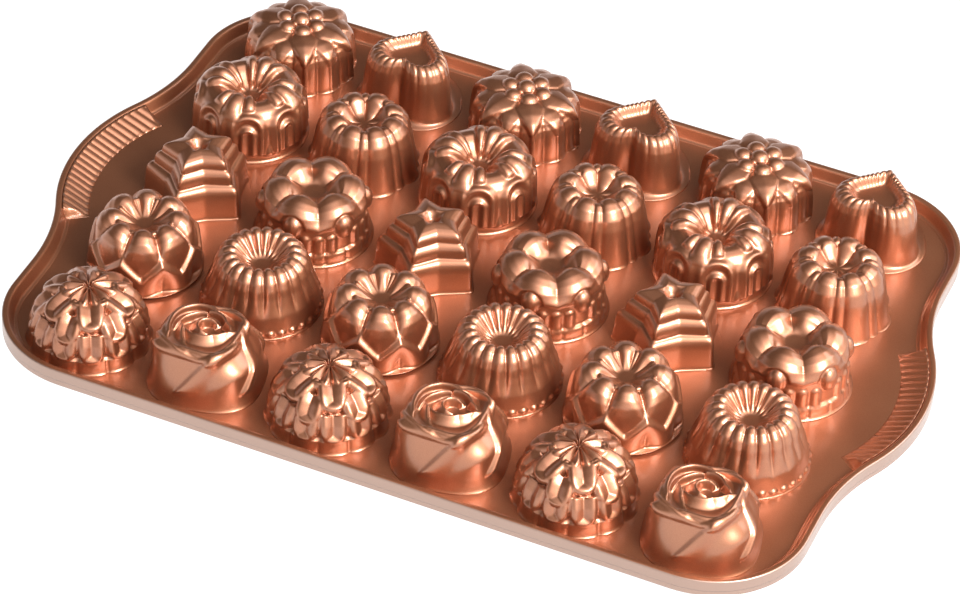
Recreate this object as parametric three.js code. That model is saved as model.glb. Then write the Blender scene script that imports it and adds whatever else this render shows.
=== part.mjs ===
// Tea cake pan: a cast aluminium tray with thirty small sculpted cups, five rows of six, lying cups up.
// Units are millimetres, +Z is up, +X runs from handle to handle. The origin is under the middle of the tray.
// The tray is one casting. It is drawn here as the regions a pattern maker would cut separately:
// a deck with the cup mouths, a rim, two ridged handle grips and the thirty hollow cups.
import * as THREE from 'three';
import { mergeVertices } from 'three/addons/utils/BufferGeometryUtils.js';

// Cup grid
const columns = 6;
const rows = 5;
const columnPitch = 56;
const rowPitch = 52.8;
const cupGap = 2.8;
const cupHeight = 28.8;
const cupWall = 2.4;

// Tray
const deckThickness = 3;
const endMargin = 42;
const sideMargin = 32.2;
const cornerRadius = 43;
const handleReach = 18.3;
const handleRadius = 86;
const neckRadius = 90;

// Rim, in section
const rimHeight = 5.4;
const rimLip = 2.8;
const rimSlope = 2.2;
const rimEdge = 0.8;

// Ridged grips on the handles
const gripWidth = 11.5;
const gripHalfLength = 41;
const gripRidges = 22;
const ridgeDepth = 0.7;
const seatGap = 0.3;

// Facets
const mouthSides = 12;
const cornerSteps = 5;
const handleSteps = 8;
const neckSteps = 4;

const footRadius = (Math.min(columnPitch, rowPitch) - cupGap) / 2;
const halfLength = (columns - 1) / 2 * columnPitch + endMargin;
const halfWidth = (rows - 1) / 2 * rowPitch + sideMargin;
const handleCentre = halfLength + handleReach - handleRadius;

const radians = (degrees) => degrees * Math.PI / 180;

// Signed degrees from an angle to the nearest of `count` equal directions, the first at `first`.
function fromNearest(angle, count, first = 0) {
  const step = 360 / count;
  const turns = (angle - first) / step;
  return (turns - Math.round(turns)) * step;
}

// Round back of a rib: 1 along its middle, 0 at half its width and beyond.
const ribBack = (offset, halfSpan) => Math.sqrt(Math.max(0, 1 - (offset / halfSpan) ** 2));

// Round flutes side by side: 0 along each back, 1 in the sharp valley between two.
const fluteValley = (angle, count, first = 0) =>
  1 - Math.abs(Math.cos(radians(fromNearest(angle, count, first)) * count / 2));

// A value that goes linearly through [offset, value] pairs by the distance from the nearest direction.
function ramp(angle, count, first, pairs) {
  const distance = Math.abs(fromNearest(angle, count, first));
  const end = pairs.findIndex(([offset]) => offset >= distance);
  if (end === -1) return pairs[pairs.length - 1][1];
  if (end === 0) return pairs[0][1];
  const [from, low] = pairs[end - 1];
  const [to, high] = pairs[end];
  return low + (high - low) * (distance - from) / (to - from);
}

const plain = () => 0;

// Each design is a profile from the foot to the middle of the crown. A station has its radius as a share of
// the foot radius, its height as a share of the cup height, and how deep the relief is cut below the profile
// there, in millimetres, by the angle in degrees. `angles` are the directions that the relief needs.

// Every period of `span` degrees repeats the same offsets.
function repeatAngles(span, offsets, first = 0) {
  const angles = [];
  for (let start = 0; start < 360; start += span) {
    offsets.forEach((offset) => angles.push(first + start + offset));
  }
  return angles;
}

// Flower: six long petals over six short ones, a fluted wall and a cluster of round beads.
function flowerDesign() {
  const flutes = (depth) => (angle) => depth * fluteValley(angle, 12);
  const petals = (gap, short) => (angle) => ramp(angle, 6, 0, [[0, 0], [15, gap], [30, short]]);
  return {
    angles: repeatAngles(60, [0, 15, 30, 45]),
    profile: [
      [1, 0, flutes(1.8)],
      [0.97, 0.47, petals(2.2, -0.5)],
      [0.93, 0.69, petals(2.6, 1)],
      [0.78, 0.81, petals(1.6, 2)],
      [0.42, 0.83, plain],
      [0.33, 0.92, petals(0.7, 1.6)],
      [0.14, 0.89, plain],
    ],
    middle: 0.965,
    inside: [[1, 0], [0.92, 0.62], [0.72, 0.8]],
    insideMiddle: 0.84,
  };
}

// Heart: tip to the back, cleft to the front, a scalloped crown and a heart recess with a flat floor.
function heartDesign() {
  const lobeRadius = 0.48;
  const lobeSide = 0.37;
  const lobeFront = 0.2;
  const tipReach = 0.8;
  const outline = (angle) => {
    const away = radians(Math.abs(fromNearest(angle, 1, 90)));
    const direction = new THREE.Vector2(Math.sin(away), Math.cos(away));
    const centre = new THREE.Vector2(lobeSide, -lobeFront);
    const toTip = new THREE.Vector2(0, tipReach).sub(centre);
    const tangent = toTip.angle() - Math.acos(lobeRadius / toTip.length());
    const normal = new THREE.Vector2(Math.cos(tangent), Math.sin(tangent));
    const touch = centre.clone().addScaledVector(normal, lobeRadius);
    if (away < Math.atan2(touch.x, touch.y)) return normal.dot(touch) / normal.dot(direction);
    const along = direction.dot(centre);
    return along + Math.sqrt(lobeRadius ** 2 - centre.lengthSq() + along ** 2);
  };
  const scallopCount = 12;
  const scallops = (depth) => (angle) => depth * fluteValley(angle, scallopCount, 90);
  return {
    angles: repeatAngles(180 / scallopCount, [0], 90),
    outline,
    profile: [
      [1, 0, plain],
      [0.9, 0.7, plain],
      [0.84, 0.94, scallops(0.7)],
      [0.73, 1, scallops(0.7)],
      [0.6, 0.93, scallops(0.5)],
      [0.48, 0.68, plain],
    ],
    middle: 0.68,
    inside: [[1, 0], [0.88, 0.72], [0.72, 0.93], [0.5, 0.68]],
    insideMiddle: 0.68,
  };
}

// Arched ring: four clusters of three fingers round a deep hole, low saddles between the clusters, and eight
// round arches on the wall below, each with a small hump inside.
function archedDesign() {
  const clusterSpan = 90;
  const grooveAt = 12;
  const sideFingerAt = 21;
  const edgeAt = 30;
  const saddleAt = clusterSpan / 2;
  const oneSide = [grooveAt, sideFingerAt, edgeAt];
  const otherSide = oneSide.map((offset) => clusterSpan - offset).reverse();
  const relief = (middle, groove, side, edge, saddle) => (angle) => ramp(angle, 4, 0, [
    [0, middle], [grooveAt, groove], [sideFingerAt, side], [edgeAt, edge], [saddleAt, saddle],
  ]);
  return {
    angles: repeatAngles(clusterSpan, [0, ...oneSide, saddleAt, ...otherSide]),
    profile: [
      [1.02, 0, relief(0, 0.4, 0.8, 0.4, 0)],
      [0.99, 0.42, relief(0.6, 0, 0.2, 0, 0.6)],
      [0.965, 0.61, relief(0.6, 0, 1.7, 0, 0.8)],
      [0.92, 0.76, relief(0, 0.8, 0, 0.8, 1.4)],
      [0.66, 0.96, relief(0, 1.8, 0.4, 2.6, 4)],
      [0.46, 0.99, relief(0, 1.6, 0.4, 3, 6)],
      [0.1, 0.63, plain],
    ],
    middle: 0.62,
    inside: [[1, 0], [0.9, 0.62], [0.6, 0.79], [0.42, 0.79], [0.1, 0.63]],
    insideMiddle: 0.62,
  };
}

// Lobed ring: eight wide lobes with a narrow rib in each valley, drawn into a funnel.
function lobedDesign() {
  const lobeHalfSpan = 16;
  const ribHalfSpan = 6.5;
  const ribShare = 0.55;
  const relief = (depth) => (angle) => {
    const lobe = ribBack(fromNearest(angle, 8), lobeHalfSpan);
    const rib = ribShare * ribBack(fromNearest(angle, 8, 22.5), ribHalfSpan);
    return depth * (1 - Math.max(lobe, rib));
  };
  return {
    angles: repeatAngles(45, [0, lobeHalfSpan, 22.5, 45 - lobeHalfSpan]),
    profile: [
      [1, 0, relief(1.8)],
      [0.88, 0.62, relief(1.8)],
      [0.73, 0.89, relief(1.7)],
      [0.45, 1, relief(1.5)],
      [0.08, 0.78, plain],
    ],
    middle: 0.78,
    inside: [[1, 0], [0.87, 0.64], [0.46, 0.97], [0.08, 0.78]],
    insideMiddle: 0.78,
  };
}

// Star: three stacked tiers with round shoulders, nearly a pentagon at the foot and a star on top.
function starDesign() {
  const firstPoint = 270;
  const pointSpan = 360 / 5;
  const pointDepth = 0.17;
  const valley = (angle) => (1 - Math.cos(2 * Math.PI * (angle - firstPoint) / pointSpan)) / 2;
  const outline = (angle) => 1 - pointDepth * valley(angle);
  const deepen = (depth) => (angle) => depth * valley(angle);
  return {
    angles: repeatAngles(pointSpan / 4, [0], firstPoint),
    outline,
    profile: [
      [1, 0, plain],
      [0.97, 0.45, deepen(0.6)],
      [0.83, 0.55, deepen(1)],
      [0.805, 0.7, deepen(1.2)],
      [0.69, 0.78, deepen(1.6)],
      [0.66, 0.9, deepen(1.8)],
      [0.42, 0.995, deepen(1)],
      [0.08, 0.87, plain],
    ],
    middle: 0.85,
    inside: [[1, 0], [0.9, 0.4], [0.6, 0.84]],
    insideMiddle: 0.84,
  };
}

// Petalled ring: six broad saddle petals round a six-sided floor, arches and small columns on the wall.
function petalledDesign() {
  const relief = (petal, flank, valley) => (angle) =>
    ramp(angle, 6, 30, [[0, petal], [20, flank], [30, valley]]);
  return {
    angles: repeatAngles(60, [0, 10, 30, 50]),
    profile: [
      [1.02, 0, plain],
      [0.97, 0.3, relief(0.6, 1.4, 0)],
      [0.95, 0.62, relief(0, 1, 0.8)],
      [0.84, 0.89, relief(0, 0.9, 3.4)],
      [0.52, 0.995, relief(0, 1, 4)],
      [0.24, 0.76, plain],
    ],
    middle: 0.76,
    inside: [[1, 0], [0.88, 0.64], [0.52, 0.85], [0.24, 0.76]],
    insideMiddle: 0.76,
  };
}

// Gabled ring: eight round lobes into a hole, with a pointed gable under each valley.
function gabledDesign() {
  const relief = (valley, flank, lobe) => (angle) =>
    ramp(angle, 8, 0, [[0, valley], [9, flank], [22.5, lobe]]);
  return {
    angles: repeatAngles(45, [0, 9, 22.5, 36]),
    profile: [
      [1.02, 0, relief(3, 1, 0)],
      [0.98, 0.28, relief(2, 0.4, -0.3)],
      [0.95, 0.66, relief(1.2, 1.4, 0)],
      [0.88, 0.78, relief(4, 1.6, 0)],
      [0.58, 0.99, relief(3.8, 1.4, 0)],
      [0.2, 0.82, plain],
    ],
    middle: 0.79,
    inside: [[1, 0], [0.84, 0.7], [0.54, 0.9], [0.2, 0.82]],
    insideMiddle: 0.79,
  };
}

// Fluted ring: twenty flutes over the crown into the hole, fading into a plain bell with a beaded foot.
function flutedDesign() {
  const flutes = (depth) => (angle) => depth * fluteValley(angle, 20);
  return {
    angles: repeatAngles(18, [0, 9]),
    profile: [
      [1, 0, plain],
      [0.91, 0.45, flutes(0.3)],
      [0.76, 0.88, flutes(1.1)],
      [0.54, 1, flutes(1.2)],
      [0.2, 0.72, flutes(0.4)],
    ],
    middle: 0.72,
    inside: [[1, 0], [0.9, 0.46], [0.54, 0.97], [0.2, 0.72]],
    insideMiddle: 0.72,
  };
}

// Dahlia: a dome of overlapping petals, twelve at the foot and six to each ring above, every ring turned half
// a petal from the last, round a six-petalled pinwheel.
function dahliaDesign() {
  const petalRing = (count, first, depth) => (angle) => depth * fluteValley(angle, count, first);
  return {
    angles: repeatAngles(60, [0, 15, 30, 45]),
    profile: [
      [1.03, 0, petalRing(12, 0, 1.4)],
      [1.02, 0.2, petalRing(12, 0, 1)],
      [0.98, 0.43, petalRing(6, 30, 2.6)],
      [0.86, 0.63, petalRing(6, 0, 3)],
      [0.44, 0.955, petalRing(6, 30, 2.8)],
    ],
    middle: 0.93,
    inside: [[1, 0], [0.92, 0.44], [0.6, 0.8]],
    insideMiddle: 0.9,
  };
}

// Rose: three broad petals wrapped round the wall and a coil of petal edges in the crown.
function roseDesign() {
  const outerEdge = 120;
  const innerEdge = 45;
  const wrap = (depth, edge) => (angle) => depth * ((((angle - edge) % 120) + 120) % 120) / 120;
  return {
    angles: repeatAngles(20, [0]),
    profile: [
      [1, 0, plain],
      [0.98, 0.5, wrap(0.6, outerEdge)],
      [0.93, 0.82, wrap(1, outerEdge)],
      [0.7, 0.985, wrap(1.4, outerEdge)],
      [0.52, 0.91, plain],
      [0.38, 0.985, wrap(1.2, innerEdge)],
      [0.15, 0.82, plain],
    ],
    middle: 0.815,
    inside: [[1, 0], [0.9, 0.76], [0.56, 0.9]],
    insideMiddle: 0.815,
  };
}

// Two designs share each row, back row first, and take turns along it.
const designRows = [
  [['flower_cup', flowerDesign()], ['heart_cup', heartDesign()]],
  [['arched_cup', archedDesign()], ['lobed_cup', lobedDesign()]],
  [['star_cup', starDesign()], ['petalled_cup', petalledDesign()]],
  [['gabled_cup', gabledDesign()], ['fluted_cup', flutedDesign()]],
  [['dahlia_cup', dahliaDesign()], ['rose_cup', roseDesign()]],
];

// Unit normals of a profile polyline on its outer side, averaged where two segments meet.
function profileNormals(points) {
  const sides = points.slice(1).map(([r, z], i) =>
    new THREE.Vector2(z - points[i][1], points[i][0] - r).normalize());
  return points.map((_, i) => {
    const before = sides[Math.max(i - 1, 0)];
    const after = sides[Math.min(i, sides.length - 1)];
    return before.clone().add(after).normalize();
  });
}

// Point of a cup in plan polar form, from a profile radius at an angle.
function polarPoint(radius, angle, height, outline) {
  const reach = radius * (outline ? outline(angle) : 1);
  return new THREE.Vector3(reach * Math.cos(radians(angle)), reach * Math.sin(radians(angle)), height);
}

// Rings of the outer skin: the profile with the relief cut in along its normals.
function outerRings(design) {
  const stations = design.profile.map(([r, z]) => [r * footRadius, z * cupHeight]);
  const normals = profileNormals(stations);
  normals[0].set(1, 0);
  return stations.map(([r, z], i) => design.angles.map((angle) => {
    const cut = design.profile[i][2](angle);
    return polarPoint(r - cut * normals[i].x, angle, z - cut * normals[i].y, design.outline);
  }));
}

// Deepest cut of the foot station, so that the mouth keeps a wall behind every valley.
const footCut = (design) => Math.max(...design.angles.map((angle) => design.profile[0][2](angle)));

// Directions of the inner skin, which has few sides unless the plan outline needs the design's own.
const mouthAngles = (design) => design.outline
  ? design.angles.filter((_, i) => i % 2 === 0)
  : repeatAngles(360 / mouthSides, [0]);

// Rings of the inner skin: its own simpler profile, one wall thickness inside.
function innerRings(design) {
  const stations = design.inside.map(([r, z]) => [r * footRadius, z * cupHeight]);
  const normals = profileNormals(stations);
  normals[0].set(1, 0);
  const inset = cupWall + footCut(design) / 2;
  return stations.map(([r, z], i) => mouthAngles(design).map((angle) =>
    polarPoint(r - inset * normals[i].x, angle, z - inset * normals[i].y, design.outline)));
}

// Indexed triangle soup that becomes one closed geometry.
class SolidBuilder {
  constructor() {
    this.points = [];
    this.triangles = [];
  }

  addRing(ring) {
    const start = this.points.length;
    this.points.push(...ring);
    return ring.map((_, i) => start + i);
  }

  // Joins two rings of equal length, with the outside to the right of the way from low to high.
  addBand(low, high) {
    low.forEach((a, i) => {
      const next = (i + 1) % low.length;
      this.triangles.push([a, low[next], high[next]], [a, high[next], high[i]]);
    });
  }

  addFan(ring, centre, flip = false) {
    const tip = this.points.push(centre) - 1;
    ring.forEach((a, i) => {
      const b = ring[(i + 1) % ring.length];
      this.triangles.push(flip ? [b, a, tip] : [a, b, tip]);
    });
  }

  // Flat face between an outer ring and an inner ring at one height, seen from below.
  addFloor(outer, inner) {
    const flat = (ring) => ring.map((i) => new THREE.Vector2(this.points[i].x, this.points[i].y));
    const order = [...outer, ...inner];
    THREE.ShapeUtils.triangulateShape(flat(outer), [flat(inner)]).forEach(([a, b, c]) => {
      this.triangles.push([order[a], order[c], order[b]]);
    });
  }

  geometry() {
    const geometry = new THREE.BufferGeometry().setFromPoints(this.points);
    geometry.setIndex(this.triangles.flat());
    return geometry;
  }
}

// Hollow cup standing on its open mouth, with the mouth at height 0.
function cupGeometry(design) {
  const solid = new SolidBuilder();
  const outer = outerRings(design).map((ring) => solid.addRing(ring));
  const inner = innerRings(design).map((ring) => solid.addRing(ring));
  outer.slice(1).forEach((ring, i) => solid.addBand(outer[i], ring));
  inner.slice(1).forEach((ring, i) => solid.addBand(ring, inner[i]));
  solid.addFan(outer.at(-1), new THREE.Vector3(0, 0, design.middle * cupHeight));
  solid.addFan(inner.at(-1), new THREE.Vector3(0, 0, design.insideMiddle * cupHeight - cupWall), true);
  solid.addFloor(outer[0], inner[0]);
  return solid.geometry();
}

// Points along an arc, both ends included.
function arcPoints(x, y, radius, from, to, steps) {
  return Array.from({ length: steps + 1 }, (_, i) => {
    const angle = from + (to - from) * i / steps;
    return new THREE.Vector2(x + radius * Math.cos(angle), y + radius * Math.sin(angle));
  });
}

// One end of the tray outline from the front corner to the back corner: a round corner, a hollow neck, the
// bowed handle, a neck and a corner. Every arc keeps its centre when the outline is set in.
function endOutline(inset) {
  const neckX = halfLength + neckRadius;
  const neckY = Math.sqrt((handleRadius + neckRadius) ** 2 - (neckX - handleCentre) ** 2);
  const bow = Math.atan2(neckY, neckX - handleCentre);
  const cornerX = halfLength - cornerRadius;
  const cornerY = halfWidth - cornerRadius;
  const quarter = Math.PI / 2;
  return [
    ...arcPoints(cornerX, -cornerY, cornerRadius - inset, -quarter, 0, cornerSteps),
    ...arcPoints(neckX, -neckY, neckRadius + inset, Math.PI, Math.PI - bow, neckSteps),
    ...arcPoints(handleCentre, 0, handleRadius - inset, -bow, bow, handleSteps).slice(1, -1),
    ...arcPoints(neckX, neckY, neckRadius + inset, Math.PI + bow, Math.PI, neckSteps),
    ...arcPoints(cornerX, cornerY, cornerRadius - inset, 0, quarter, cornerSteps),
  ];
}

function trayOutline(inset) {
  const right = endOutline(inset);
  const left = right.map((p) => new THREE.Vector2(-p.x, -p.y));
  return [...right, ...left];
}

// Places of the cups, back row first.
function cupPlaces() {
  const places = [];
  for (let row = 0; row < rows; row += 1) {
    for (let column = 0; column < columns; column += 1) {
      const [name, design] = designRows[row][column % 2];
      places.push({
        name: `${name}_${Math.floor(column / 2) + 1}`,
        design,
        x: (column - (columns - 1) / 2) * columnPitch,
        y: ((rows - 1) / 2 - row) * rowPitch,
      });
    }
  }
  return places;
}

// Flat plate with one mouth under each cup, the same outline as the cup's inner wall.
function deckGeometry(places) {
  const plate = new THREE.Shape(trayOutline(0));
  places.forEach(({ design, x, y }) => {
    const mouth = innerRings(design)[0].map((p) => new THREE.Vector2(p.x + x, p.y + y));
    plate.holes.push(new THREE.Path(mouth));
  });
  const geometry = new THREE.ExtrudeGeometry(plate, { depth: deckThickness, bevelEnabled: false });
  geometry.deleteAttribute('normal');
  geometry.deleteAttribute('uv');
  return mergeVertices(geometry);
}

// Upstanding rim on the edge of the deck: upright outside, rounded top, sloped inside.
function rimGeometry() {
  const section = [
    [0, 0],
    [0, rimHeight - rimEdge],
    [rimEdge, rimHeight],
    [rimLip, rimHeight],
    [rimLip + rimSlope, 0],
  ];
  const solid = new SolidBuilder();
  const rings = section.map(([inset, z]) =>
    solid.addRing(trayOutline(inset).map((p) => new THREE.Vector3(p.x, p.y, z))));
  rings.forEach((ring, i) => solid.addBand(ring, rings[(i + 1) % rings.length]));
  return solid.geometry();
}

// Grip of the right handle: a wedge from the top of the rim down to the deck, with ridges that run along X.
function gripGeometry() {
  const solid = new SolidBuilder();
  const stations = gripRidges * 2;
  const atInset = (inset, y) => handleCentre + Math.sqrt((handleRadius - inset) ** 2 - y ** 2);
  const slopeInset = (z) => rimLip + rimSlope * (1 - z / rimHeight) + seatGap;
  const rings = Array.from({ length: stations + 1 }, (_, i) => {
    const y = gripHalfLength * (2 * i / stations - 1);
    const top = rimHeight - (i % 2 === 0 ? ridgeDepth : 0);
    return solid.addRing([
      new THREE.Vector3(atInset(slopeInset(0), y), y, 0),
      new THREE.Vector3(atInset(slopeInset(top), y), y, top),
      new THREE.Vector3(atInset(rimLip + gripWidth, y), y, 0),
    ]);
  });
  rings.slice(1).forEach((ring, i) => solid.addBand(ring, rings[i]));
  const [a, b, c] = rings[0];
  const [d, e, f] = rings.at(-1);
  solid.triangles.push([a, b, c], [d, f, e]);
  return solid.geometry();
}

function coppered(roughness) {
  return new THREE.MeshStandardMaterial({ color: 0xb0673f, metalness: 0.85, roughness });
}

function namedMesh(name, geometry, roughness) {
  const mesh = new THREE.Mesh(geometry, coppered(roughness));
  mesh.name = name;
  return mesh;
}

const places = cupPlaces();
const pan = new THREE.Group();
pan.add(namedMesh('deck', deckGeometry(places), 0.5));

const aboveDeck = new THREE.Group();
aboveDeck.position.z = deckThickness;
pan.add(aboveDeck);

aboveDeck.add(namedMesh('rim', rimGeometry(), 0.5));

const rightGrip = namedMesh('right_grip', gripGeometry(), 0.45);
const leftGrip = namedMesh('left_grip', gripGeometry(), 0.45);
leftGrip.rotation.z = Math.PI;
aboveDeck.add(rightGrip, leftGrip);

places.forEach(({ name, design, x, y }) => {
  const cup = namedMesh(name, cupGeometry(design), 0.38);
  cup.position.set(x, y, 0);
  aboveDeck.add(cup);
});

export default pan;
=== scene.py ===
import math
import bpy
import numpy as np
from mathutils import Matrix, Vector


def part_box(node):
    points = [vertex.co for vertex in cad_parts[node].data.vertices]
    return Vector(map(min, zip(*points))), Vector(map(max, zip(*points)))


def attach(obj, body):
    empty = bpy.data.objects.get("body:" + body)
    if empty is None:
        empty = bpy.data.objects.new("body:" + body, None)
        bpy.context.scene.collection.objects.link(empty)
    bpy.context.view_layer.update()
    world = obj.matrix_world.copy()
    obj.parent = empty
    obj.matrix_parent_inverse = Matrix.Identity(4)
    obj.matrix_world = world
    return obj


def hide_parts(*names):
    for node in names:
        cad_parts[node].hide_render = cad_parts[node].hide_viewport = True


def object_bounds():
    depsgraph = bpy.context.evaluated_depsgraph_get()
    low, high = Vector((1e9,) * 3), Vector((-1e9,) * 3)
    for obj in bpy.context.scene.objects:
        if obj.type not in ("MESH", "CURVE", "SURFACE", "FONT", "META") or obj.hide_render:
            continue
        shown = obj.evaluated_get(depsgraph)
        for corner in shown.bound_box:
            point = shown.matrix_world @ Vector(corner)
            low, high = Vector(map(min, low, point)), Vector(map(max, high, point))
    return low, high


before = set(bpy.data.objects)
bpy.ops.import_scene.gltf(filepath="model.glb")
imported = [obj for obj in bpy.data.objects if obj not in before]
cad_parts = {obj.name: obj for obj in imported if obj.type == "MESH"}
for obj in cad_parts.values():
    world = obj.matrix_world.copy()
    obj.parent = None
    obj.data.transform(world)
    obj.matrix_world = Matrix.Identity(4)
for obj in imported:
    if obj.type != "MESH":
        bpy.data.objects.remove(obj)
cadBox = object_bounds()
scene = bpy.context.scene
scene.view_settings.view_transform = "Standard"
mm = 0.001
blurReach = 4  # Gaussian blurs are cut off at this many deviations

# Tray and cup grid, in millimetres; heights of cups, rim and grips count from the deck's top
pan = {
    "columns": 6, "rows": 5, "columnPitch": 56.0, "rowPitch": 52.8,
    "deckTop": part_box("deck")[1].z / mm,
    "mouthRadius": 23.4,  # hole in the deck under each cup
    "mouthLip": 1.3,  # rounding of its lower edge
    "shelfDrop": 0.1,  # flat shelf between that hole and the lining, below the deck's top
    "cupWall": 2.2, "profileBlur": 0.5,
    "liningStart": 2.4,  # height on the skin where the lining starts
    "liningLow": 0.6, "liningNarrow": 0.05,
    "liningSoft": 15,  # stations that its normals are softened over
    "cupSides": 216, "cupStations": 96, "liningStations": 32,
}
pan["crownTop"] = cadBox[1].z / mm - pan["deckTop"]


# Shapes: small helpers on whole arrays

def fromNearest(degrees, count, first=0.0):
    # signed degrees to the nearest of `count` equal directions, the first one at `first`
    step = 360.0 / count
    turns = (degrees - first) / step
    return (turns - np.round(turns)) * step


def rise(start, end, x):
    # smooth step from 0 at start to 1 at end, either way round
    t = np.clip((x - start) / (end - start), 0.0, 1.0)
    return t * t * (3.0 - 2.0 * t)


def bell(x, width):
    # 1 in the middle and 1/e at the width
    return np.exp(-(x / width) ** 2)


def gauss(x, deviation):
    # the same bell, by its standard deviation
    return np.exp(-0.5 * (x / deviation) ** 2)


def roundBack(x, halfWidth):
    # half an ellipse: 1 in the middle, 0 at the edges and beyond
    return np.sqrt(np.clip(1.0 - (x / halfWidth) ** 2, 0.0, 1.0))


def softMax(a, b, blend):
    # the greater of the two, with the corner between them rounded
    return 0.5 * (a + b + np.sqrt((a - b) ** 2 + blend ** 2) - blend)


def blurRing(values, degrees):
    # circular Gaussian blur of values on a full turn
    n = len(values)
    away = np.minimum(np.arange(n), n - np.arange(n)) * 360.0 / n
    kernel = gauss(away, degrees)
    return np.real(np.fft.ifft(np.fft.fft(values) * np.fft.fft(kernel / kernel.sum())))


def lengthsAlong(line):
    # distance from the start to each point of a polyline
    return np.r_[0.0, np.cumsum(np.hypot(*np.diff(line, axis=0).T))]


def profileLine(corners, count, blur):
    # a polyline of (radius, height) with its corners rounded by a Gaussian along its length,
    # sampled at even steps; the last corner is on the axis, where the line is mirrored
    corners = np.array(corners, float)
    lengths = lengthsAlong(corners)
    fine = 0.05
    along = np.arange(0.0, lengths[-1], fine)
    line = np.stack([np.interp(along, lengths, corners[:, k]) for k in (0, 1)], 1)
    reach = int(blurReach * blur / fine)
    before = 2 * line[0] - line[reach:0:-1]
    after = line[-2:-reach - 2:-1] * [-1, 1]
    kernel = gauss(np.arange(-reach, reach + 1) * fine, blur)
    kernel /= kernel.sum()
    padded = np.concatenate([before, line, after])
    line = np.stack([np.convolve(padded[:, k], kernel, "valid") for k in (0, 1)], 1)
    lengths = lengthsAlong(line)
    even = np.linspace(0.0, lengths[-1], count + 1)[:-1]
    line = np.stack([np.interp(even, lengths, line[:, k]) for k in (0, 1)], 1)
    return line, lengths[-1] - even


class CupField:
    # the grid that a cup's relief is worked out on: theta in degrees along a row,
    # radius, height and distance to the crown's middle along a column
    def __init__(self, settings):
        sides = pan["cupSides"]
        blur = settings.get("profileBlur", pan["profileBlur"])
        line, inward = profileLine(settings["profile"], pan["cupStations"], blur)
        self.theta = (np.arange(sides) * 360.0 / sides)[None, :]
        self.radius = line[:, :1]
        self.height = line[:, 1:]
        self.inward = inward[:, None]
        # outside of the crown's crest
        self.outer = self.inward > self.inward[np.argmax(self.height)]
        slope = np.gradient(line, axis=0)
        slope /= np.hypot(slope[:, 0], slope[:, 1])[:, None]
        self.normalR = slope[:, 1:]
        self.normalZ = -slope[:, :1]
        self.zero = np.zeros((len(line), sides))

    def off(self, count, first=0.0):
        # degrees from the nearest of `count` directions
        return fromNearest(self.theta, count, first)

    def across(self, count, first=0.0):
        # the same in millimetres along the ring
        return np.radians(self.off(count, first)) * self.radius

    def window(self, outside, inside):
        # one rise by height outside the crest, another by radius inside it
        return np.where(self.outer, rise(*outside, self.height), rise(*inside, self.radius))

    def inwardAt(self, height):
        # distance to the crown's middle at a height on the outside
        return np.interp(height, self.height[self.outer], self.inward[self.outer])


def spun(radius, height, theta):
    # points from radius and height at each direction
    angle = np.radians(theta)
    return np.stack([radius * np.cos(angle), radius * np.sin(angle), height + 0.0 * angle], 2)


def cupSurface(field, relief, outline, footCircle):
    # point = profile + relief along the profile's normal, spun round the axis; the plan outline scales
    # the radius, and footCircle pulls it back to the plain circle low on the wall
    radius = field.radius + relief * field.normalR
    shaped = radius * outline
    radius = shaped + (radius - shaped) * footCircle
    height = np.minimum(field.height + relief * field.normalZ, pan["crownTop"])
    return spun(radius, height, field.theta)


def cupLining(field, relief, outline):
    # inner skin: the same surface, set in by one wall along softened normals, from the mouth circle
    # over a flat shelf and up
    window = np.hanning(pan["liningSoft"])
    window /= window.sum()

    def soften(normal):
        padded = np.pad(normal[:, 0], pan["liningSoft"] // 2, mode="edge")
        return np.convolve(padded, window, "valid")[:, None]

    wall = pan["cupWall"]
    radius = (field.radius + relief * field.normalR) * outline - wall * soften(field.normalR)
    height = field.height + relief * field.normalZ - wall * soften(field.normalZ)
    started = int(np.argmax(field.height[:, 0] > pan["liningStart"]))
    rows = np.linspace(started, len(radius) - 1, pan["liningStations"]).astype(int)
    radius = np.maximum(radius[rows], pan["liningNarrow"])
    height = np.maximum(height[rows], pan["liningLow"])
    sides = radius.shape[1]
    radius = np.concatenate([np.full((1, sides), pan["mouthRadius"]), radius[:1], radius])
    height = np.concatenate([np.full((2, sides), -pan["shelfDrop"]), height])
    return spun(radius, height, field.theta)


# Meshes

def ringQuads(rows, sides, start=0):
    # faces between neighbouring rings of a closed grid, outside to the right of the way up
    i = np.arange(rows - 1)[:, None] * sides
    j = np.arange(sides)[None, :]
    k = (j + 1) % sides
    return np.stack([i + j, i + k, i + sides + k, i + sides + j], 2).reshape(-1, 4) + start


def sheetQuads(rows, sides, start=0):
    # faces of an open grid
    i = np.arange(rows - 1)[:, None] * sides
    j = np.arange(sides - 1)[None, :]
    return np.stack([i + j, i + j + 1, i + sides + j + 1, i + sides + j], 2).reshape(-1, 4) + start


def addObject(name, data):
    made = bpy.data.objects.new(name, data)
    scene.collection.objects.link(made)
    return made


def makePiece(name, points, faces, material, node):
    # one mesh piece on the root body that stands for the CAD node; the last group of faces, which closes
    # the shell, is flat, so that it doesn't bend the normals of its neighbours
    mesh = bpy.data.meshes.new(name)
    places = (np.asarray(points) * mm).tolist()
    mesh.from_pydata(places, [], [face for group in faces for face in group.tolist()])
    smooth = np.arange(len(mesh.polygons)) < len(mesh.polygons) - len(faces[-1])
    mesh.polygons.foreach_set("use_smooth", smooth)
    mesh.update()
    piece = addObject(name, mesh)
    mesh.materials.append(material)
    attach(piece, "root")
    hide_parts(node)
    return piece


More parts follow.
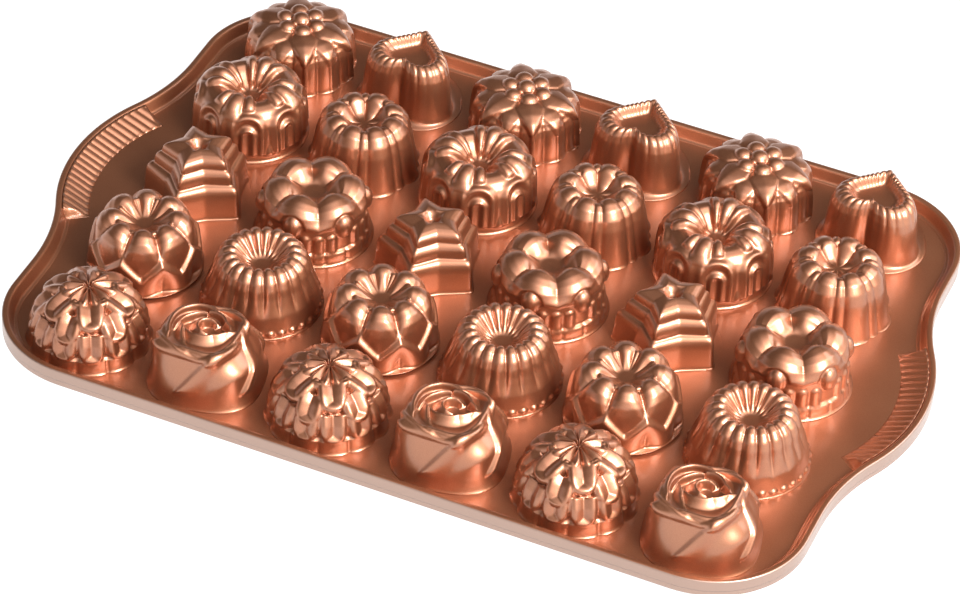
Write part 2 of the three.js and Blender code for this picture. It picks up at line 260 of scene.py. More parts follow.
def cupMesh(skin, lining):
    # closed shell: outer rings, crown fan, lining rings, lining fan and the seat between the two feet
    rows, sides = skin.shape[:2]
    inRows = lining.shape[0]
    inStart = rows * sides
    crown = inStart + inRows * sides
    points = np.concatenate([
        skin.reshape(-1, 3), lining.reshape(-1, 3),
        skin[-1].mean(0)[None], lining[-1].mean(0)[None],
    ])
    j = np.arange(sides)
    k = (j + 1) % sides
    top = (rows - 1) * sides
    inTop = inStart + (inRows - 1) * sides
    faces = [
        ringQuads(rows, sides),
        ringQuads(inRows, sides, inStart)[:, ::-1],
        np.stack([top + j, top + k, np.full(sides, crown)], 1),
        np.stack([inTop + k, inTop + j, np.full(sides, crown + 1)], 1),
        np.stack([inStart + j, inStart + k, k, j], 1),
    ]
    return points, faces


# Cup designs. Each takes its field and settings and gives its relief in millimetres along the normal, its
# plan outline and how far the foot goes back to a circle. A pair of numbers is where a rise starts and ends.

flower = {
    "profile": [(26.3, 0), (25.4, 0.4), (25, 1.9), (24.6, 9), (24.1, 14), (23.2, 17.4), (21.2, 19.9),
                (17.6, 21.6), (12, 22.6), (5, 23), (0, 23)],
    "flutes": 12, "fluteDepth": 2.1, "fluteSpan": 15.3, "fluteTop": (21.6, 18), "rib": 0.3, "ribWidth": 0.8,
    # petals: lengths along the surface from the crown's middle, half widths, how proud they stand
    "petals": 6, "petalRoot": 9.4, "upperTip": 27.4, "lowerTip": 30.2, "upperHalf": 7.8, "lowerHalf": 6.8,
    "upperProud": 2.4, "lowerProud": 1.0, "taper": 0.72, "crowding": 0.56, "roofSlope": 0.55,
    "edgeAt": 0.7, "edgeDrop": 1.9, "blend": 0.2,
    "beadRing": 7.5, "beadSize": 4.2, "beadTop": 26.9, "middleTop": 28.4, "beadHigh": 0.8,
}


def flowerCup(f, s):
    # wall of twelve flutes; petals are kites in (distance from the middle, sideways), each a low roof with
    # a round edge; the middle is the greater of seven flat beads and the petals

    def petals(first, tip, half, proud):
        p = np.clip((f.inward - s["petalRoot"]) / (tip - s["petalRoot"]), 0, 1)
        kite = half * np.clip((1 - p) / s["taper"], 0, 1) ** 0.9
        width = np.minimum(kite, s["crowding"] * f.radius) + 1e-3
        e = np.abs(f.across(s["petals"], first)) / width
        body = proud * (1 - s["roofSlope"] * np.clip(np.sqrt(e ** 2 + 0.01), 0, 1) ** 1.2)
        edge = roundBack(np.clip(e - s["edgeAt"], 0, 1), 1 - s["edgeAt"])
        return (body + s["edgeDrop"]) * edge - s["edgeDrop"]

    flutes = s["fluteDepth"] * (roundBack(f.off(s["flutes"]), s["fluteSpan"]) - 1)
    flutes = flutes + s["rib"] * bell(f.across(s["flutes"]), s["ribWidth"])
    flutes = flutes * rise(*s["fluteTop"], f.height)
    lower = petals(180.0 / s["petals"], s["lowerTip"], s["lowerHalf"], s["lowerProud"])
    upper = petals(0, s["upperTip"], s["upperHalf"], s["upperProud"])
    relief = softMax(softMax(flutes, lower, s["blend"]), upper, s["blend"])
    angle = np.radians(f.theta)
    spots = [(0.0, 0.0, s["middleTop"])]
    for turn in np.linspace(0, 2 * math.pi, s["petals"], endpoint=False):
        spots.append((s["beadRing"] * math.cos(turn), s["beadRing"] * math.sin(turn), s["beadTop"]))
    for x, y, top in spots:
        away = np.hypot(f.radius * np.cos(angle) - x, f.radius * np.sin(angle) - y)
        bead = top - s["beadHigh"] * s["beadSize"] * (1 - roundBack(away, s["beadSize"]))
        relief = np.where(away < s["beadSize"], np.maximum(relief, bead - f.height), relief)
    return relief, 1.0, 0.0


heart = {
    "profile": [(25.4, 0), (24.8, 0.4), (23.5, 0.8), (22.5, 1.6), (21.9, 3.2), (21.5, 6), (21, 11),
                (20.3, 18), (19.7, 22), (18.5, 25.6), (16.9, 27.6), (15, 28.6), (13.4, 28.6), (12, 27.4),
                (10.6, 25.4), (9.4, 24.4), (8.2, 24), (0, 24)],
    "profileBlur": 0.45,
    # plan: half width, radius and centre of the lobes, reach and direction of the tip, blur in degrees
    "halfWidth": 21.2, "lobe": 11.6, "lobeSide": 9.3, "lobeFront": 5.8, "tip": 20.2,
    "tipTurn": 90.0, "rounding": 3.2,
    "scallops": 30, "scallopDepth": 0.95, "wallShare": 0.2, "wallStart": (6, 14), "crownStart": (16, 26),
    "hollowShare": 0.25, "hollowStart": (10.5, 14), "hollowFloor": (7.6, 10.5),
    "footHeight": 2.6, "footShare": 0.7,
}


def heartCup(f, s):
    # plan outline: two round lobes and their tangents to the tip, as a share of the half width;
    # scallops round the crown fade down the wall, and the foot spreads to a circle
    away = np.radians(np.abs(fromNearest(f.theta[0], 1, s["tipTurn"])))
    centre = np.array([s["lobeSide"], -s["lobeFront"]])
    toTip = np.array([0.0, s["tip"]]) - centre
    tangent = math.atan2(toTip[1], toTip[0]) - math.acos(s["lobe"] / np.hypot(*toTip))
    normal = np.array([math.cos(tangent), math.sin(tangent)])
    touch = centre + s["lobe"] * normal
    side = np.stack([np.sin(away), np.cos(away)])
    straight = normal @ touch / np.maximum(normal @ side, 0.05)
    along = centre @ side
    curved = along + np.sqrt(np.maximum(s["lobe"] ** 2 - centre @ centre + along ** 2, 0))
    reach = np.where(away < math.atan2(touch[0], touch[1]), straight, curved)
    outline = blurRing(reach, s["rounding"])[None, :] / s["halfWidth"]
    onWall = s["wallShare"] * rise(*s["wallStart"], f.height)
    onWall = onWall + (1 - s["wallShare"]) * rise(*s["crownStart"], f.height)
    inHollow = s["hollowShare"] + (1 - s["hollowShare"]) * rise(*s["hollowStart"], f.radius)
    window = np.where(f.outer, onWall, inHollow) * rise(*s["hollowFloor"], f.radius)
    ridge = roundBack(f.off(s["scallops"], s["tipTurn"]), 180.0 / s["scallops"])
    relief = s["scallopDepth"] * window * (ridge - 1)
    spread = s["footShare"] * np.clip(1 - f.height / s["footHeight"], 0, 1) ** 1.3
    return relief, outline, np.where(f.outer, spread, 0.0)


arched = {
    "profile": [(26.6, 0), (25.7, 0.45), (25.3, 1.6), (25.1, 3.4), (24.8, 9), (24.4, 14), (23.6, 18),
                (22, 21.4), (19.6, 23.8), (16.8, 25), (14, 25), (11.4, 23.4), (8.4, 20.8), (5.6, 18.6),
                (4, 18), (0, 17.8)],
    # how far the fingers stand over that low profile, by its radius
    "fingerLift": [(3.8, 0), (5, 0.6), (7.6, 2.6), (10.6, 3.5), (14, 3.6), (16.8, 3.0), (19.6, 2.4),
                   (22, 1.9), (24, 1.5), (25, 1.3), (25.3, 0)],
    "clusters": 4, "clusterEnd": (38, 28), "wideSpan": 14.0, "narrowAt": 22.5, "narrowSpan": 9.6,
    "narrowShare": 0.8, "narrowEnd": (21.5, 18.5), "crownEnd": (24, 22.4),
    "grooveShare": 0.2, "grooveStart": (0, 1.6),
    "stem": 3.0, "stemStart": (20, 23), "stemFoot": (3, 6),
    "arches": 8, "archMiddle": 16.2, "archRadius": 6.2, "ridge": 1.6, "ridgeWidth": 1.8,
    "recess": 0.5, "recessIn": (0.4, 2.2),
    "humpMiddle": 14.2, "humpRadius": 2.5, "hump": 1.8, "humpWidth": 1.25,
    "archFoot": (2.8, 4.6), "archClear": (0.2, 2.0), "wallRadius": 17.0,
    "leaf": 1.1, "leafTop": 7.6, "leafSlope": 0.42, "leafEdge": (0.5, -0.5), "leafFoot": (2.2, 3.4),
    "leafRadius": 23.0,
}


def archedCup(f, s):
    # crown: four clusters of three round fingers on a low ring, the middle one running down the wall as a
    # stem; wall: eight arches, drawn by the distance to an upright centre line as a ridge, a recess and a
    # smaller arch inside; a leaf between the feet of the arches
    off = np.abs(f.off(s["clusters"]))
    lift = np.interp(f.radius, *np.array(s["fingerLift"]).T)
    wide = roundBack(off, s["wideSpan"])
    narrow = s["narrowShare"] * roundBack(off - s["narrowAt"], s["narrowSpan"])
    narrow = narrow * rise(*s["narrowEnd"], f.radius)
    groove = s["grooveShare"] * f.radius * (1 - np.maximum(wide, narrow)) * rise(*s["grooveStart"], lift)
    crown = rise(*s["clusterEnd"], off) * (lift - groove) * rise(*s["crownEnd"], f.radius)
    stem = lift * roundBack(f.across(s["clusters"]), s["stem"])
    stem = stem * rise(*s["stemStart"], f.radius) * rise(*s["stemFoot"], f.height)

    def arch(middle):
        above = np.maximum(f.inwardAt(middle) - f.inward, 0)
        return np.hypot(f.across(s["arches"], 180.0 / s["arches"]), above)

    away = arch(s["archMiddle"]) - s["archRadius"]
    ridge = s["ridge"] * bell(away, s["ridgeWidth"])
    recess = s["recess"] * rise(*s["recessIn"], -away)
    hump = s["hump"] * bell(arch(s["humpMiddle"]) - s["humpRadius"], s["humpWidth"])
    wall = (ridge - recess + hump) * rise(*s["archFoot"], f.height) * (f.radius > s["wallRadius"])
    leaf = np.abs(f.across(s["arches"])) + s["leafSlope"] * (f.height - s["leafTop"])
    leaf = s["leaf"] * rise(*s["leafEdge"], leaf) * rise(*s["leafFoot"], f.height)
    crown = np.maximum(crown * rise(*s["archClear"], away), stem)
    return crown + wall + leaf * (f.radius > s["leafRadius"]), 1.0, 0.0


lobed = {
    "profile": [(26.5, 0), (25.7, 0.4), (25.2, 1.6), (23.8, 8), (22.9, 13), (21.9, 18), (20.3, 23),
                (17.6, 26.8), (14.4, 28.5), (11.6, 28.8), (9.8, 28), (7.8, 25.6), (5.6, 23.2), (3.8, 22.4),
                (0, 22.2)],
    "lobes": 8, "lobeSpan": 16.3, "depth": 2.0, "depthStart": (0.5, 9.5), "funnel": (11.5, 8.5),
    "ribSpan": 6.6, "ribShare": 0.6, "ribStart": (9, 15),
}


def lobedCup(f, s):
    # wide lobes with a narrow rib in each valley; both are half ellipses, cut down into the funnel
    half = 180.0 / s["lobes"]
    span = s["lobeSpan"] + (half - s["lobeSpan"]) * rise(*s["funnel"], f.radius)
    lobe = roundBack(f.off(s["lobes"]), span)
    rib = s["ribShare"] * roundBack(f.off(s["lobes"], half), s["ribSpan"])
    rib = rib * rise(*s["ribStart"], f.radius)
    relief = s["depth"] * rise(*s["depthStart"], f.radius) * (np.maximum(lobe, rib) - 1)
    return relief, 1.0, 0.0


star = {
    "profile": [(25.9, 0), (25.2, 0.4), (24.9, 1.6), (24.5, 10.5), (24.2, 12.6), (23.5, 14.2), (22.4, 15.3),
                (21.2, 15.8), (20.6, 16), (20.5, 16.3), (20.3, 18.4), (19.9, 20), (19.1, 21.2), (18, 22.1),
                (17.1, 22.4), (17, 22.8), (16.8, 24.4), (16.2, 25.8), (14.8, 26.9), (12.4, 27.8),
                (9.4, 28.4), (7, 28.7), (5.2, 28.2), (3.4, 26.7), (2, 25.2), (0, 24.6)],
    "profileBlur": 0.3,
    "points": 5, "firstPoint": -90.0, "valleyFoot": 0.75, "valleyTop": 0.61, "rounding": 2.2,
    "outlines": 7,  # plan outlines worked out between the foot and the crown
    "crownReach": 13.0,
    "dimple": (7.0, 4.2), "dimpleShare": 0.8,
}


def starCup(f, s):
    # plan outline: straight lines between five points and five valleys, nearly a pentagon at the foot and a
    # star on top; the valley's share of the radius falls with the height; the dimple is round
    away = np.radians(np.abs(fromNearest(f.theta[0], s["points"], s["firstPoint"])))
    half = math.pi / s["points"]
    lines = []
    for valley in np.linspace(s["valleyFoot"], s["valleyTop"], s["outlines"]):
        x, y = valley * math.cos(half), valley * math.sin(half)
        lines.append(blurRing(y / (np.sin(away) * (1 - x) + np.cos(away) * y), s["rounding"]))
    lines = np.array(lines)
    last = s["outlines"] - 1
    climb = (f.inward[0] - f.inward[:, 0]) / (f.inward[0] - s["crownReach"])
    climb = np.clip(climb, 0, 1) * last
    step = np.minimum(climb.astype(int), last - 1)
    outline = lines[step] + (climb - step)[:, None] * (lines[step + 1] - lines[step])
    outline = outline + (s["dimpleShare"] - outline) * rise(*s["dimple"], f.radius)
    return f.zero, outline, 0.0


petalled = {
    "profile": [(26.6, 0), (25.9, 0.4), (25.4, 1.4), (25.4, 3.2), (25.2, 4.8), (24.7, 5.8), (24.4, 7),
                (24.2, 15), (23.8, 20), (22.7, 23.8), (20, 26.6), (16.6, 28.2), (13, 28.7), (10.4, 27.6),
                (7.6, 24.8), (5.8, 22.7), (4.6, 22), (0, 21.8)],
    "petals": 6, "valleyDepth": 3.0, "valleyOutside": (15, 25), "valleyInside": (5, 9.5),
    # lower edge of the petals
    "archFoot": 19.0, "archRise": 5.2, "archHalf": 5.8, "archDrop": 1.4, "edgeOver": 0.6, "edgeUnder": 1.2,
    # wall under it
    "setIn": 1.2, "wallFoot": (5.6, 6.6),
    "eggMiddle": 18.0, "eggHigh": 5.6, "eggWide": 4.2, "eggProud": 2.9,
    "columnTurns": (0, 14.5, -14.5), "columnTop": 12.8, "columnHalf": 2.4, "columnProud": 1.2,
    "blockHalf": 2.8, "sideSeam": 0.55, "middleSeam": 0.45, "seamDepth": 0.7,
    "blockFoot": (0.8, 1.8), "blockTop": (6.6, 5.4),
}


def petalledCup(f, s):
    # six saddle petals: valleys cut by a power of the distance from the petal's middle; under the petals'
    # arched edge the wall is set in and carries an egg, three round-topped columns and a ring of blocks
    count = s["petals"]
    half = 180.0 / count
    share = np.abs(f.off(count, half)) / half
    cut = f.window(s["valleyOutside"], s["valleyInside"])
    crown = -s["valleyDepth"] * cut * share ** 1.9
    x = f.across(count, half)
    edge = s["archFoot"] + s["archRise"] * roundBack(x, s["archHalf"]) - s["archDrop"] * share ** 3
    under = rise(edge + s["edgeOver"], edge - s["edgeUnder"], f.height) * f.outer
    egg = np.hypot(x / s["eggWide"], (f.height - s["eggMiddle"]) / s["eggHigh"])
    raised = s["eggProud"] * roundBack(egg, 1.0)
    for turn in s["columnTurns"]:
        shaft = np.hypot(f.across(count, turn), np.maximum(f.height - s["columnTop"], 0))
        raised = np.maximum(raised, s["columnProud"] * roundBack(shaft, s["columnHalf"]))
    wall = (raised - s["setIn"]) * rise(*s["wallFoot"], f.height)
    seams = bell(np.abs(f.across(count)) - s["blockHalf"], s["sideSeam"]) + bell(x, s["middleSeam"])
    blocks = s["seamDepth"] * np.clip(seams, 0, 1)
    blocks = blocks * rise(*s["blockFoot"], f.height) * rise(*s["blockTop"], f.height)
    relief = crown * (1 - under) + under * wall - blocks * f.outer
    return relief, 1.0, 0.0


gabled = {
    "profile": [(24.2, 0), (23.7, 0.4), (23.3, 1.4), (23.1, 5), (22.8, 10), (22.3, 15), (21.8, 19),
                (21, 22.6), (19.2, 25.8), (16.2, 28), (13, 28.7), (10.8, 28), (8.6, 26.4), (6, 24),
                (4.4, 22.8), (3.4, 22.4), (0, 22.4)],
    # lobes: the power of their section grows down the wall, which makes them boxier
    "lobes": 8, "lobeDepth": 3.4, "valleyOutside": (16, 27), "valleyInside": (3.2, 9),
    "power": 2.4, "morePower": 2.0, "boxier": (27, 20),
    "ribShare": 0.62, "ribSpan": 10.0, "ribStart": (14.5, 11),
    "seam": 0.5, "seamSpan": 2.8, "seamTop": (27, 22),
    # zigzag ledge: its highest and lowest, how proud it stands, the slope of its upper side
    "apex": 16.2, "low": 8.4, "ledge": 1.7, "peak": 0.6, "shelfSlope": 0.8,
    "crease": 0.3, "cusp": 3.0, "cuspTop": (15, 3), "cuspFoot": (0.2, 2.8),
}


def gabledCup(f, s):
    # eight round lobes with deep valleys, a small rib in each valley near the hole; below, a raised zigzag
    # ledge with its peaks under the valleys, a crease down each peak and cusps in the foot line
    half = 180.0 / s["lobes"]
    power = s["power"] + s["morePower"] * rise(*s["boxier"], f.height)
    lobe = 1 - np.abs(f.off(s["lobes"], half) / half) ** power
    valley = np.abs(f.off(s["lobes"]))
    rib = s["ribShare"] * roundBack(valley, s["ribSpan"]) * rise(*s["ribStart"], f.radius) * (1 - f.outer)
    cut = f.window(s["valleyOutside"], s["valleyInside"])
    seam = s["seam"] * np.clip(1 - valley / s["seamSpan"], 0, 1) * rise(*s["seamTop"], f.height) * f.outer
    body = s["lobeDepth"] * cut * (np.maximum(lobe, rib) - 1) - seam
    peak = 1 - valley / half
    ledge = s["apex"] - (s["apex"] - s["low"]) * valley / half
    crease = (s["crease"] + s["cusp"] * rise(*s["cuspTop"], f.height)) * rise(*s["cuspFoot"], f.height)
    above = s["shelfSlope"] * np.maximum(f.height - ledge, 0)
    panel = s["ledge"] + s["peak"] * peak - crease * peak ** 1.8 - above
    return np.where(f.outer, np.maximum(body, panel), body), 1.0, 0.0


fluted = {
    "profile": [(26.9, 0), (26.2, 0.45), (25.9, 1.6), (25.8, 3.6), (25.2, 6), (24.4, 10), (22.9, 14),
                (21.6, 18), (20.8, 21.4), (19.4, 24.8), (16.8, 27.6), (13.8, 28.7), (11.6, 28), (9.6, 25.8),
                (7, 22.8), (4.8, 20.9), (3.6, 20.3), (0, 20.2)],
    "flutes": 20, "depth": 1.9, "fluteOutside": (6.5, 20), "fluteInside": (4.2, 8),
    "beads": 32, "beadMiddle": 2.5, "beadWide": 1.75, "beadHigh": 1.45, "beadProud": 1.1,
}


def flutedCup(f, s):
    # round flutes over the crown that fade into a plain bell; a ring of small beads above the foot
    back = roundBack(f.off(s["flutes"]), 180.0 / s["flutes"])
    window = f.window(s["fluteOutside"], s["fluteInside"])
    away = np.hypot(f.across(s["beads"]) / s["beadWide"], (f.height - s["beadMiddle"]) / s["beadHigh"])
    bead = s["beadProud"] * roundBack(away, 1.0)
    return s["depth"] * window * (back - 1) + bead * f.outer, 1.0, 0.0


dahlia = {
    "profile": [(27.2, 0), (26.4, 0.45), (26, 1.8), (25.6, 5), (24.9, 9), (23.6, 13), (21.4, 17),
                (18.6, 20.4), (15.4, 22.8), (12, 24.4), (8.4, 25.4), (4, 25.8), (0, 25.8)],
    # ring: petals in it, first direction, height of the tips, half width, how proud it stands
    "rings": [(12, 0, 4.4, 6.4, -1.0), (6, 30, 12.2, 6.8, -0.3), (6, 0, 17.6, 7.0, 0.3)],
    "petalLength": 14.0, "fold": 1.9, "foldTip": 1.25, "edge": 1.7, "edgeAt": 0.56, "gap": -2.4,
    "scallops": 12, "scallopDepth": 1.5, "scallopSpan": 15.4, "scallopTop": 6.5,
    # crown: petals that meet round a small hole
    "topPetals": 6, "topReach": 13.6, "topHalf": 6.8, "topSpan": 29.0, "topTip": 5.6, "topProud": 0.6,
    "hole": 1.6, "holeEdge": (2.6, 0.8),
}


def dahliaCup(f, s):
    # each petal is a U in (sideways, distance along the dome): two flat halves that slope to a crease, inside
    # a thick round edge; rings are laid over each other by taking the greater height, and scallops end them

    def petal(x, up, half, tip, proud):
        side = np.abs(x) / half
        e = np.where(up > tip, side, np.hypot(side, (up - tip) / tip))
        inFold = 1 - np.maximum(side, 1 - s["foldTip"] * up / tip) / s["edgeAt"]
        trough = s["fold"] * np.clip(inFold, 0, 1) ** 1.2
        edge = roundBack(np.maximum(e - s["edgeAt"], 0), 1 - s["edgeAt"])
        return s["gap"] + (proud + s["edge"] - s["gap"]) * edge - trough * (e < 1)

    relief = f.zero + s["gap"]
    for count, first, tip, half, proud in s["rings"]:
        up = f.inwardAt(tip) - f.inward
        shown = petal(f.across(count, first), up, half, half, proud)
        relief = np.maximum(relief, np.where(up < s["petalLength"], shown, s["gap"]))
    foot = s["scallopDepth"] * (roundBack(f.off(s["scallops"]), s["scallopSpan"]) - 1)
    relief = np.where(f.height < s["scallopTop"], np.maximum(relief, foot), relief)
    half = np.minimum(s["topHalf"], np.tan(np.radians(s["topSpan"])) * f.radius + 0.05)
    x = f.across(s["topPetals"], 180.0 / s["topPetals"])
    top = petal(x, s["topReach"] - f.inward, half, s["topTip"], s["topProud"])
    hole = s["hole"] * rise(*s["holeEdge"], f.inward)
    relief = np.where(f.inward < s["topReach"], np.maximum(relief, top) - hole, relief)
    return relief, 1.0, 0.0


rose = {
    "profile": [(26, 0), (25.5, 0.45), (25, 1.4), (24.4, 3), (23.8, 5.6), (23.4, 9), (23, 15), (22.6, 20),
                (22.2, 24), (21.4, 26.4), (20, 27.2), (18, 26.4), (15, 25), (12, 24.4), (7, 23.6),
                (4.6, 23.2), (0, 23)],
    "flats": 4, "flatTurn": -78.0, "flatShare": 0.045,
    # how far the wall leans in: direction, share at the top, distance from the middle where the lean starts
    "lean": [(-155, 0.07, 44), (-130, 0.02, 44), (-112, 0.12, 44), (-92, 0.15, 44), (-70, 0.07, 44),
             (-56, 0.07, 38), (-40, 0.24, 34), (-11, 0.32, 34), (40, 0.24, 38), (105, 0.36, 48),
             (170, 0.22, 46), (205, 0.07, 44)],
    "leanEnd": 24.0, "leanBlur": 8.0,
    # petal edges on the wall: direction at the top, and how far they turn on the way down
    "edges": [-56.0, 14.0, 88.0, 160.0, 232.0], "edgeTurn": -46.0, "edgeTop": 28.0, "edgeDrop": 22.0,
    "edgeStep": 1.9, "edgeRoll": (-0.4, 2.2), "edgeFade": (30, 3), "edgeLip": (21.5, 25.5),
    "edgeFoot": (4.5, 9),
    # crown petals: (direction, radius, height) along each edge
    "petals": [
        [(78, 8.6, 27.6), (95, 9.8, 28.4), (111, 11.2, 28.6), (136, 13.4, 28.7), (161, 14.8, 28.7),
         (195, 16.1, 28.6), (221, 17.6, 28.2), (232, 19, 27)],
        [(-12, 20.6, 26.6), (-4, 20, 27.4), (7, 19, 28), (25, 16.2, 28.6), (54, 13.7, 28.7),
         (79, 10.9, 28.6), (98, 9.2, 28)],
        [(118, 7.6, 27.8), (126, 8.2, 28.2), (161, 9.8, 28.2), (183, 11.8, 28), (200, 13.4, 27.4),
         (208, 14.2, 26.2)],
        [(0, 11.2, 27.2), (9, 10.2, 28), (33, 8.2, 28.4), (69, 8.6, 28.5), (95, 8.8, 28.4), (112, 8.8, 27.8)],
        [(200, 10.2, 26.2), (225, 9.6, 27.2), (256, 8.7, 28), (310, 7.6, 28.2), (345, 9.2, 28.2),
         (359, 10.9, 28), (368, 12.4, 27)],
        [(194, 11.4, 26.6), (213, 11.2, 28), (230, 12.6, 27.8), (247, 14.3, 27.4), (262, 15.6, 26.4)],
        [(208, 20.6, 26.6), (220, 20.4, 27.6), (228, 20.2, 28.2), (247, 19, 27.8), (265, 18.6, 27.2),
         (280, 19.6, 26.4)],
        [(50, 4.6, 26), (90, 4.6, 27.2), (130, 4.8, 27.6), (190, 5, 27.6), (250, 4.6, 27.2), (290, 4.2, 26)],
        [(278, 20.4, 26.6), (290, 20, 27.4), (305, 19, 28.1), (330, 17.2, 28.4), (344, 16.4, 28.2),
         (356, 16, 27)],
    ],
    "outSlope": 0.55, "curl": 2.0, "curlReach": 1.0, "inSlope": 2.6, "edgeRound": 0.6,
    "tailTurn": 14.0, "tailDrop": 6.0,  # past its end an edge sinks away
    "crownEdge": (27, 21.5),
}


def roseCup(f, s):
    # wall: broad petals, each a low step along a line that runs down and round, on a wall that leans in by
    # its own share in each direction; crown: each petal is a roof along its edge, curled outwards and steep
    # inwards, and the highest shows
    flat = 1 - s["flatShare"] * np.cos(np.radians(s["flats"] * (f.theta - s["flatTurn"])))
    turn, *leans = np.array(s["lean"], float).T
    share, start = (blurRing(np.interp(f.theta[0], turn, v, period=360), s["leanBlur"]) for v in leans)
    outline = flat * (1 - share * rise(start, s["leanEnd"], f.inward))
    down = np.clip((s["edgeTop"] - f.height) / s["edgeDrop"], 0, 1)
    shown = rise(*s["edgeLip"], f.inward) * rise(*s["edgeFoot"], f.height)
    wall = f.zero
    for top in s["edges"]:
        line = top + s["edgeTurn"] * down ** 0.8
        past = (f.theta - line + 180) % 360 - 180
        wall = wall + s["edgeStep"] * rise(*s["edgeRoll"], past) * rise(*s["edgeFade"], past) * shown
    radius = f.radius * outline
    crown = f.height + f.zero
    for edge in s["petals"]:
        turn, reach, height = np.array(edge, float).T
        here = (f.theta - turn[0]) % 360 + turn[0]
        beyond = here - turn[-1]
        top = np.interp(here, turn, height) - s["tailDrop"] * rise(0, s["tailTurn"], beyond)
        away = radius - np.interp(here, turn, reach)
        soft = np.sqrt(away ** 2 + s["edgeRound"] ** 2) - s["edgeRound"]
        outside = s["curl"] * (1 - np.exp(-soft / s["curlReach"])) + s["outSlope"] * soft
        roof = top - np.where(away > 0, outside, s["inSlope"] * soft)
        crown = np.where(beyond < s["tailTurn"], np.maximum(crown, roof), crown)
    lift = (crown - f.height) * rise(*s["crownEdge"], f.inward)
    return wall + lift, outline, 0.0


# Shader maths as expressions

class Shade:
    # wraps an output socket of a node tree, so that expressions on values add Math nodes
    def __init__(self, tree, socket=None):
        self.tree = tree
        self.socket = socket

    def node(self, kind, settings=(), **inputs):
        # any other node: its settings first, then its sockets by name (spaces as _) or by number as n0, n1
        made = self.tree.nodes.new(kind)
        for key, value in dict(settings).items():
            setattr(made, key, value)
        for key, value in inputs.items():
            numbered = key[0] == "n" and key[1:].isdigit()
            port = made.inputs[int(key[1:])] if numbered else made.inputs[key.replace("_", " ")]
            if isinstance(value, Shade):
                self.tree.links.new(value.socket, port)
            else:
                port.default_value = value
        return made

    def out(self, made, port=0):
        return Shade(self.tree, made.outputs[port])

    def math(self, operation, a, b):
        return self.out(self.node("ShaderNodeMath", {"operation": operation}, n0=a, n1=b))

    def dot(self, a, b):
        return self.out(self.node("ShaderNodeVectorMath", {"operation": "DOT_PRODUCT"}, n0=a, n1=b), "Value")

    def mixColour(self, factor, a, b):
        # a Mix node's colours are its inputs 6 and 7 and its output 2
        return self.out(self.node("ShaderNodeMix", {"data_type": "RGBA"}, n0=factor, n6=a, n7=b), 2)

    def feed(self, port):
        self.tree.links.new(self.socket, port)

    def __add__(self, other):
        return self.math("ADD", self, other)

    def __sub__(self, other):
        return self.math("SUBTRACT", self, other)

    def __rsub__(self, other):
        return self.math("SUBTRACT", other, self)

    def __mul__(self, other):
        return self.math("MULTIPLY", self, other)

    def __pow__(self, other):
        return self.math("POWER", self, other)

    __radd__ = __add__
    __rmul__ = __mul__


def nodesOf(owner):
    # starts expressions in the node tree of a material or world
    owner.use_nodes = True
    return Shade(owner.node_tree)


copper = {
    "deep": (0.33, 0.1, 0.04, 1), "bright": (0.575, 0.25, 0.128, 1), "flakeShare": 0.55,
    # paler outer wall, a painted reflection of the white floor: where the normal points this many metres away
    # from the tray's middle
    "paintedReflection": (0.46, 0.33, 0.27, 1), "paleFrom": 0.06, "paleTo": 0.1,
    "metallic": 0.92, "roughLow": 0.38, "roughHigh": 0.46,
    "grainScale": 2600.0, "grainDetail": 2.0, "grainBump": 0.00004, "bumpStrength": 0.35,
    "cloudScale": 26.0, "cloudDetail": 4.0,
    "coat": 0.7, "coatRoughness": 0.22, "coatIor": 1.8,
}


def copperCoat(name, roughShift, paintedReflection):
    # metallic coat: fine flake grain in the colour and the bump, soft clouds in the roughness
    s = copper
    material = bpy.data.materials.new(name)
    start = nodesOf(material)
    shader = start.tree.nodes["Principled BSDF"]
    place = start.out(start.node("ShaderNodeTexCoord"), "Object")

    def noise(scale, detail):
        return start.out(start.node("ShaderNodeTexNoise", Vector=place, Scale=scale, Detail=detail))

    flake = noise(s["grainScale"], s["grainDetail"])
    cloud = noise(s["cloudScale"], s["cloudDetail"])
    mixed = s["flakeShare"] * flake + (1 - s["flakeShare"]) * cloud
    colour = start.mixColour(mixed, s["deep"], s["bright"])
    # painted reflection: outward-facing walls turn pale, standing for the white floor that they reflect
    if paintedReflection:
        away = start.dot(place, start.out(start.node("ShaderNodeNewGeometry"), "Normal"))
        edge = start.node("ShaderNodeMapRange", Value=away, From_Min=s["paleFrom"], From_Max=s["paleTo"])
        colour = start.mixColour(paintedReflection * start.out(edge), colour, s["paintedReflection"])
    colour.feed(shader.inputs["Base Color"])
    rough = s["roughLow"] + roughShift + (s["roughHigh"] - s["roughLow"]) * cloud
    rough.feed(shader.inputs["Roughness"])
    bump = start.node("ShaderNodeBump", Height=flake, Strength=s["bumpStrength"], Distance=s["grainBump"])
    start.out(bump).feed(shader.inputs["Normal"])
    shader.inputs["Metallic"].default_value = s["metallic"]
    shader.inputs["Coat Weight"].default_value = s["coat"]
    shader.inputs["Coat Roughness"].default_value = s["coatRoughness"]
    shader.inputs["Coat IOR"].default_value = s["coatIor"]
    return material


trayRough = 0.06  # the tray is a little duller than the cups
# the tray's outer walls get the painted floor reflection, the cups and the grips none
cupCoat = copperCoat("cupCoat", 0.0, 0.0)
trayCoat = copperCoat("trayCoat", trayRough, 0.8)
gripCoat = copperCoat("gripCoat", trayRough, 0.0)
print("materials made")


# Cups, two designs to a row, back row first

designRows = [
    (("flower_cup", flower, flowerCup), ("heart_cup", heart, heartCup)),
    (("arched_cup", arched, archedCup), ("lobed_cup", lobed, lobedCup)),
    (("star_cup", star, starCup), ("petalled_cup", petalled, petalledCup)),
    (("gabled_cup", gabled, gabledCup), ("fluted_cup", fluted, flutedCup)),
    (("dahlia_cup", dahlia, dahliaCup), ("rose_cup", rose, roseCup)),
]


def gridPlace(column, row):
    return np.array([
        (column - (pan["columns"] - 1) / 2) * pan["columnPitch"],
        ((pan["rows"] - 1) / 2 - row) * pan["rowPitch"],
        pan["deckTop"],
    ])


